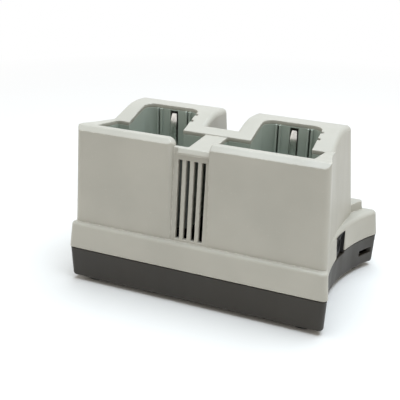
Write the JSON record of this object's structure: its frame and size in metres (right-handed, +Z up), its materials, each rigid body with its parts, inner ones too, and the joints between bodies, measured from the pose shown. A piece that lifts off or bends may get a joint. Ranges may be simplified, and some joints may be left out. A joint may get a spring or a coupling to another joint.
{
  "type": "charging cradle",
  "caption": "Desktop charging cradle: side-by-side open-topped pockets with raised rear towers, a louvred centre recess and a flared base on a dark tray.",
  "frame": {"origin": "on the table, under the middle of the footprint", "axes": "+X to the right seen from the front, +Y to the back, +Z up"},
  "size_m": [0.1365, 0.0792, 0.0776],
  "materials": {
    "housing_plastic": "fine satin moulded, warm grey",
    "liner_plastic": "fine satin moulded, darker warm grey",
    "tray_plastic": "satin moulded, black",
    "inlet_plastic": "smooth black",
    "contact_metal": "bright nickel plate",
    "leaf_steel": "bright spring strip",
    "pin_brass": "gold-coloured plate",
    "board_laminate": "green solder mask",
    "sink_aluminium": "plain extruded",
    "chip_plastic": "moulded black",
    "inductor_core": "ferrite, dull",
    "capacitor_sleeve": "dark sleeve",
    "screw_steel": "zinc plate",
    "foot_rubber": "dull rubber"
  },
  "bodies": {
    "cradle": {"upper_housing": "housing_plastic", "base_tray": "tray_plastic", "dc_jack_body": "inlet_plastic", "dc_jack_pin": "contact_metal", "dc_jack_contact": "contact_metal", "dc_jack_legs": "contact_metal", "main_board": "board_laminate", "heat_sink": "sink_aluminium", "regulators": "chip_plastic", "power_inductor": "inductor_core", "bulk_capacitors": "capacitor_sleeve", "charge_controllers": "chip_plastic", "main_board_screws": "screw_steel", "housing_screws": "screw_steel", "rubber_feet": "foot_rubber", "right_pocket_liner": "liner_plastic", "right_contact_board": "board_laminate", "right_board_connector": "inlet_plastic", "right_leaf_clip": "liner_plastic", "right_pin_barrels": "pin_brass", "right_contact_board_screws": "screw_steel", "left_pocket_liner": "liner_plastic", "left_contact_board": "board_laminate", "left_board_connector": "inlet_plastic", "left_leaf_clip": "liner_plastic", "left_pin_barrels": "pin_brass", "left_contact_board_screws": "screw_steel"},
    "right_contact_pin_1_body": {"right_contact_pin_1": "pin_brass"},
    "right_contact_pin_2_body": {"right_contact_pin_2": "pin_brass"},
    "right_contact_pin_3_body": {"right_contact_pin_3": "pin_brass"},
    "right_contact_pin_4_body": {"right_contact_pin_4": "pin_brass"},
    "right_leaf_spring_body": {"right_leaf_spring": "leaf_steel"},
    "left_contact_pin_1_body": {"left_contact_pin_1": "pin_brass"},
    "left_contact_pin_2_body": {"left_contact_pin_2": "pin_brass"},
    "left_contact_pin_3_body": {"left_contact_pin_3": "pin_brass"},
    "left_contact_pin_4_body": {"left_contact_pin_4": "pin_brass"},
    "left_leaf_spring_body": {"left_leaf_spring": "leaf_steel"}
  },
  "joints": [
    {"name": "right_contact_pin_1_press", "type": "slide", "parent": "cradle", "child": "right_contact_pin_1_body", "axis": [0, 0, -1], "range_m": [0, 0.0015], "stiffness_N_per_m": 250, "springref_m": -0.0008},
    {"name": "right_contact_pin_2_press", "type": "slide", "parent": "cradle", "child": "right_contact_pin_2_body", "axis": [0, 0, -1], "range_m": [0, 0.0015], "stiffness_N_per_m": 250, "springref_m": -0.0008},
    {"name": "right_contact_pin_3_press", "type": "slide", "parent": "cradle", "child": "right_contact_pin_3_body", "axis": [0, 0, -1], "range_m": [0, 0.0015], "stiffness_N_per_m": 250, "springref_m": -0.0008},
    {"name": "right_contact_pin_4_press", "type": "slide", "parent": "cradle", "child": "right_contact_pin_4_body", "axis": [0, 0, -1], "range_m": [0, 0.0015], "stiffness_N_per_m": 250, "springref_m": -0.0008},
    {"name": "right_leaf_spring_flex", "type": "hinge", "parent": "cradle", "child": "right_leaf_spring_body", "pos_m": [0.0301, 0.01068, 0.0506], "axis": [-1, 0, 0], "range_deg": [0, 3], "stiffness_Nm_per_rad": 0.8, "springref_deg": -0.57},
    {"name": "left_contact_pin_1_press", "type": "slide", "parent": "cradle", "child": "left_contact_pin_1_body", "axis": [0, 0, -1], "range_m": [0, 0.0015], "stiffness_N_per_m": 250, "springref_m": -0.0008},
    {"name": "left_contact_pin_2_press", "type": "slide", "parent": "cradle", "child": "left_contact_pin_2_body", "axis": [0, 0, -1], "range_m": [0, 0.0015], "stiffness_N_per_m": 250, "springref_m": -0.0008},
    {"name": "left_contact_pin_3_press", "type": "slide", "parent": "cradle", "child": "left_contact_pin_3_body", "axis": [0, 0, -1], "range_m": [0, 0.0015], "stiffness_N_per_m": 250, "springref_m": -0.0008},
    {"name": "left_contact_pin_4_press", "type": "slide", "parent": "cradle", "child": "left_contact_pin_4_body", "axis": [0, 0, -1], "range_m": [0, 0.0015], "stiffness_N_per_m": 250, "springref_m": -0.0008},
    {"name": "left_leaf_spring_flex", "type": "hinge", "parent": "cradle", "child": "left_leaf_spring_body", "pos_m": [-0.0301, 0.01068, 0.0506], "axis": [-1, 0, 0], "range_deg": [0, 3], "stiffness_Nm_per_rad": 0.8, "springref_deg": -0.57}
  ]
}
